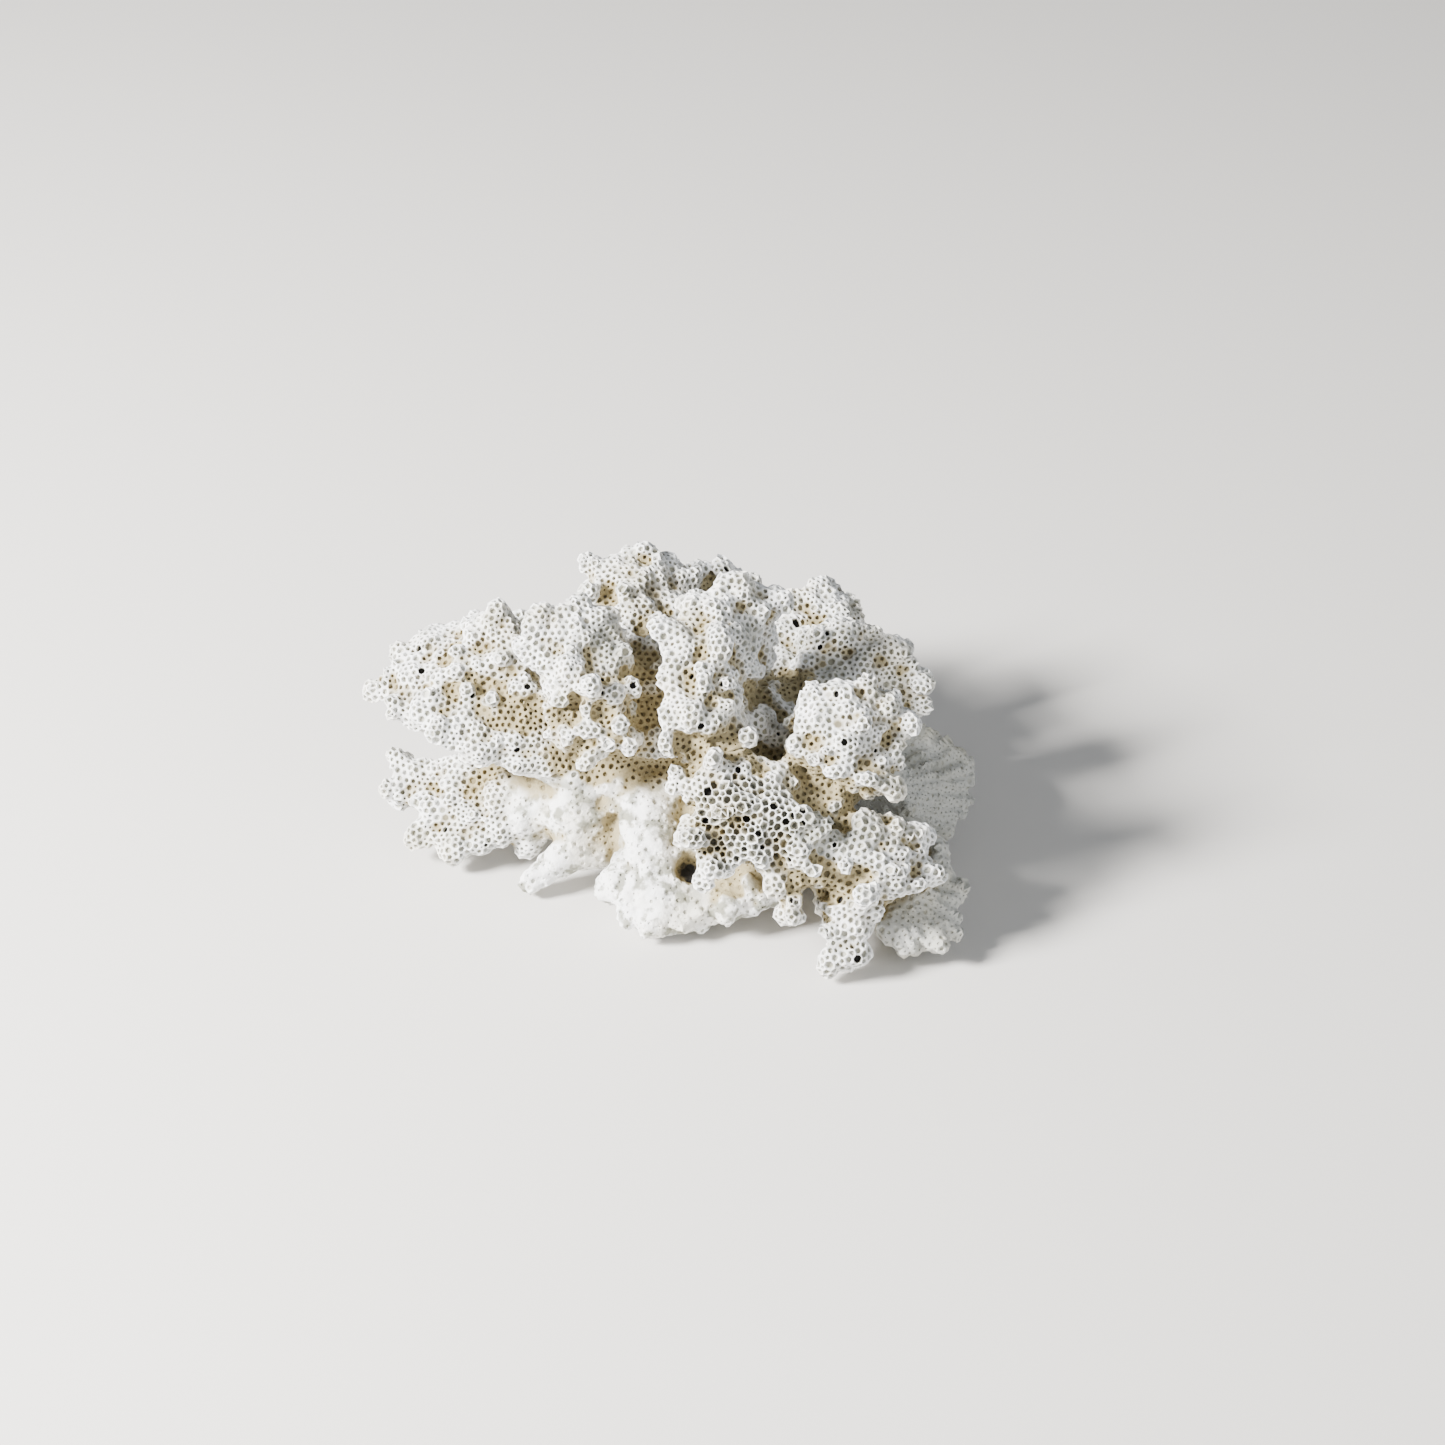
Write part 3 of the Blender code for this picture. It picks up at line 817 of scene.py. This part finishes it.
def cut_piece(index):
    """One branch's cells, with their cups pressed in and its forks closed."""
    shape = bmesh.new()
    shape.from_mesh(net.data)
    shape.faces.ensure_lookup_table()
    layers = {name: shape.verts.layers.float.new(name) for name in LAYERS}
    name = node_names[index]
    own = {shape.faces[i]: fact for i, fact in enumerate(facts) if fact["owner"] == index}
    around = {}
    for face in own:
        for vert in face.verts:
            around[vert] = [facts[other.index] for other in vert.link_faces]
    for vert, cells in around.items():
        for key in FACT_LAYERS:
            vert[layers[key]] = sum(fact[key] for fact in cells) / len(cells)
        # The painted black shade of the holes is spread to these corners too.
        vert[layers["pit"]] = sum(fact["burrow"] for fact in cells) / len(cells)
    others = [face for face in shape.faces if face not in own]
    bmesh.ops.delete(shape, geom=others, context="FACES")
    cups = {face: cup_kind(fact) for face, fact in own.items()}
    cups = {face: kind for face, kind in cups.items() if kind}
    for ring in ("lip", "floor"):
        bmesh.ops.inset_individual(shape, faces=list(cups), thickness=0)
        for face, kind in cups.items():
            wall, slope, depth = CUPS[kind]
            fact = own[face]
            normal = face.normal.copy()
            if ring == "lip":
                middle = face.calc_center_median()
                radius = sum((vert.co - middle).length for vert in face.verts) / len(face.verts)
                fact["normal"] = normal
                spread = DEEP_WALL if fact["deep"] else dice.uniform(*WALL_SPREAD)
                wall = CUPS["open"][0] if fact["deep"] else wall
                share = min(OPENING[1], max(OPENING[0], 1 - wall * spread / radius))
                for vert in face.verts:
                    spoke = vert.co - middle
                    round_spoke = spoke.normalized() * radius
                    vert.co = middle + spoke.lerp(round_spoke, ROUNDING) * share - normal * slope
                    vert[layers["pit"]] = max(LIP_DARKNESS, fact["burrow"])
            else:
                reach = min(depth * dice.uniform(*DEPTH_SPREAD), DEEPEST_SHARE * fact["thick"])
                # The floor's painted shade: darker by the kind of cup, and black for the deep
                # cups and the holes.
                pit = dice.uniform(*FLOOR_DARKNESS[kind])
                floor_share = FLOOR_SHARE
                if fact["deep"]:
                    reach = max(reach, DEEP_REACH)
                    pit = DEEP_DARKNESS
                    floor_share = DEEP_FLOOR_SHARE
                middle = face.calc_center_median()
                for vert in face.verts:
                    vert.co = middle + (vert.co - middle) * floor_share - fact["normal"] * reach
                    vert[layers["pit"]] = max(pit, fact["burrow"])
            for vert in face.verts:
                for key in FACT_LAYERS:
                    vert[layers[key]] = fact[key]
    rim_edges = [edge for edge in shape.edges if edge.is_boundary]
    sunk = bmesh.ops.extrude_edge_only(shape, edges=rim_edges)["geom"]
    shape.normal_update()
    for vert in [item for item in sunk if isinstance(item, bmesh.types.BMVert)]:
        inward = [edge.other_vert(vert) for edge in vert.link_edges if not edge.is_boundary]
        vert.co -= inward[0].normal * RIM_TUCK * MM
    rim_edges = [edge for edge in shape.edges if edge.is_boundary]
    caps = bmesh.ops.holes_fill(shape, edges=rim_edges, sides=0)["faces"]
    for vert in bmesh.ops.poke(shape, faces=caps)["verts"]:
        near_skin, out, _, _ = skin_tree.find_nearest(vert.co)
        if out.dot(vert.co - near_skin) > -CAP_DEPTH * MM:
            vert.co = near_skin - out * CAP_DEPTH * MM
    bmesh.ops.recalc_face_normals(shape, faces=shape.faces[:])
    for vert in shape.verts:
        vert.co = Vector(np.clip(vert.co, low, high))
    mesh = bpy.data.meshes.new(name + "_skin")
    shape.to_mesh(mesh)
    shape.free()
    for polygon in mesh.polygons:
        polygon.use_smooth = True
    mesh.set_sharp_from_angle(angle=SHARP_ANGLE)
    piece = bpy.data.objects.new(name + "_skin", mesh)
    bpy.context.scene.collection.objects.link(piece)
    return piece


def chalk():
    """Matt white skeleton, tan in its hollows as stain and painted shade, and painted shade at
    the bottom of its cups.
    """
    material = bpy.data.materials.new("coral_skeleton")
    material.use_nodes = True
    tree = material.node_tree
    surface = tree.nodes["Principled BSDF"]
    surface.inputs["Roughness"].default_value = 0.85
    surface.inputs["Specular IOR Level"].default_value = 0.3

    def attribute(name):
        read = tree.nodes.new("ShaderNodeAttribute")
        read.attribute_name = name
        return read.outputs["Fac"]

    def mixed(factor, first, second):
        mix = tree.nodes.new("ShaderNodeMix")
        mix.data_type = "RGBA"
        for socket, value in ((0, factor), (6, first), (7, second)):
            if isinstance(value, bpy.types.NodeSocket):
                tree.links.new(value, mix.inputs[socket])
            else:
                mix.inputs[socket].default_value = value
        return mix.outputs[2]

    def ranged(value, low, high, out_low=0.0, out_high=1.0):
        span = tree.nodes.new("ShaderNodeMapRange")
        span.interpolation_type = "SMOOTHSTEP"
        tree.links.new(value, span.inputs[0])
        for socket, number in zip((1, 2, 3, 4), (low, high, out_low, out_high)):
            span.inputs[socket].default_value = number
        return span.outputs[0]

    def maths(operation, first, second):
        sum_node = tree.nodes.new("ShaderNodeMath")
        sum_node.operation = operation
        for socket, value in enumerate((first, second)):
            if isinstance(value, bpy.types.NodeSocket):
                tree.links.new(value, sum_node.inputs[socket])
            else:
                sum_node.inputs[socket].default_value = value
        return sum_node.outputs[0]

    def grain(scale, detail):
        where = tree.nodes.new("ShaderNodeTexCoord")
        cloud = tree.nodes.new("ShaderNodeTexNoise")
        cloud.inputs["Scale"].default_value = scale
        cloud.inputs["Detail"].default_value = detail
        tree.links.new(where.outputs["Object"], cloud.inputs["Vector"])
        return cloud.outputs["Fac"]

    # The colours of clean skeleton, of its stains and painted shade, and of the painted shade on
    # the floors of the cups.
    white = (0.92, 0.925, 0.925, 1)
    cream = (0.72, 0.68, 0.57, 1)
    tan = (0.34, 0.285, 0.165, 1)
    # The grey green of old mottles and fans, and painted shade in the dull places.
    dull_green_and_shade = (0.17, 0.17, 0.12, 1)
    pale_floor = (0.34, 0.325, 0.25, 1)
    brown = (0.15, 0.12, 0.06, 1)
    black = (0.008, 0.007, 0.006, 1)

    # Tan is painted in the hollows and dips, in blotches: partly the stain of the dried tissue
    # and partly painted shade where less light gets in. There is less of it on the knobs that
    # stand out, and the grey green places are spared.
    stain_and_shade = maths("ADD", attribute("hollow"), maths("MULTIPLY", grain(130, 3), 0.35))
    stain_and_shade = maths("SUBTRACT", stain_and_shade, maths("MULTIPLY", attribute("relief"), 0.3))
    stain_and_shade = maths("SUBTRACT", stain_and_shade, maths("MULTIPLY", attribute("dull"), 0.35))
    stain_and_shade = ranged(stain_and_shade, 0.24, 0.64)

    # The walls are white clouded with cream, and mottled grey green where they are old. The dull
    # places and fans are grey green too, partly their own tint and partly painted shade.
    wall = mixed(ranged(grain(95, 3), 0.45, 0.7, 0.0, 0.7), white, cream)
    old = maths("SUBTRACT", 1, attribute("young"))
    mottle = ranged(grain(320, 5), 0.47, 0.6, 0.0, 0.85)
    mottle = maths("MULTIPLY", mottle, maths("MAXIMUM", old, 0.45))
    mottle = maths("MAXIMUM", mottle, maths("MULTIPLY", attribute("dull"), 0.6))
    wall = mixed(mottle, wall, dull_green_and_shade)
    wall = mixed(stain_and_shade, wall, tan)

    # The floors of the cups are painted darker, as painted shade in the recesses, and the
    # deepest cups and the holes are painted black as shade.
    floor_colour = mixed(stain_and_shade, pale_floor, brown)
    body = mixed(ranged(attribute("pit"), 0.1, 1.0, 0.0, 0.85), wall, floor_colour)
    body = mixed(ranged(attribute("pit"), 1.1, 1.9), body, black)
    tree.links.new(body, surface.inputs["Base Color"])

    # A chalky grain all over, and coarser lumps on the old skin.
    bump = tree.nodes.new("ShaderNodeBump")
    bump.inputs["Strength"].default_value = 0.8
    bump.inputs["Distance"].default_value = 0.12 * MM
    lumpy = maths("MULTIPLY", maths("MULTIPLY", grain(650, 3), old), 3)
    tree.links.new(maths("ADD", lumpy, grain(2300, 4)), bump.inputs["Height"])
    tree.links.new(bump.outputs[0], surface.inputs["Normal"])
    return material


skeleton_chalk = chalk()
for index, name in enumerate(node_names):
    piece = cut_piece(index)
    piece.data.materials.append(skeleton_chalk)
    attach(piece, "root")
    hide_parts(name)

bpy.data.objects.remove(net)
bpy.data.objects.remove(skeleton)

# The plain pale floor under the coral, which is a stage and no part of it, soft studio light
# with its key from the left, and the camera at the photograph's angle.
FLOOR_SIDE = 3
bpy.ops.mesh.primitive_plane_add(size=FLOOR_SIDE, location=(0, 0, 0))
floor = bpy.context.object
floor.name = "floor"
paper = bpy.data.materials.new("pale_paper")
paper.use_nodes = True
paper_surface = paper.node_tree.nodes["Principled BSDF"]
paper_surface.inputs["Base Color"].default_value = (0.72, 0.7, 0.67, 1)
paper_surface.inputs["Roughness"].default_value = 0.9
floor.data.materials.append(paper)

world = bpy.data.worlds.new("studio")
world.use_nodes = True
sky = world.node_tree.nodes["Background"]
sky.inputs["Color"].default_value = (0.9, 0.94, 1, 1)
sky.inputs["Strength"].default_value = 0.25
bpy.context.scene.world = world


def soft_light(name, place, size, power, tint):
    """A square soft box aimed at the coral."""
    lamp = bpy.data.lights.new(name, "AREA")
    lamp.size = size
    lamp.energy = power
    lamp.color = tint
    holder = bpy.data.objects.new(name, lamp)
    holder.location = place
    aim = Vector((0, 0, 0.02)) - Vector(place)
    holder.rotation_euler = aim.to_track_quat("-Z", "Y").to_euler()
    bpy.context.scene.collection.objects.link(holder)


soft_light("key", place=(-0.6, -0.25, 0.45), size=0.2, power=38, tint=(1, 0.985, 0.96))
soft_light("fill", place=(0.5, -0.6, 0.4), size=0.8, power=4, tint=(0.92, 0.96, 1))

eye = bpy.data.objects.new("camera", bpy.data.cameras.new("camera"))
eye.data.lens = 50
eye.data.sensor_width = 23.6
eye.data.clip_start = 0.01
eye.location = EYE
eye.rotation_euler = (math.radians(90) - CAMERA_TILT, 0, 0)
bpy.context.scene.collection.objects.link(eye)
bpy.context.scene.camera = eye
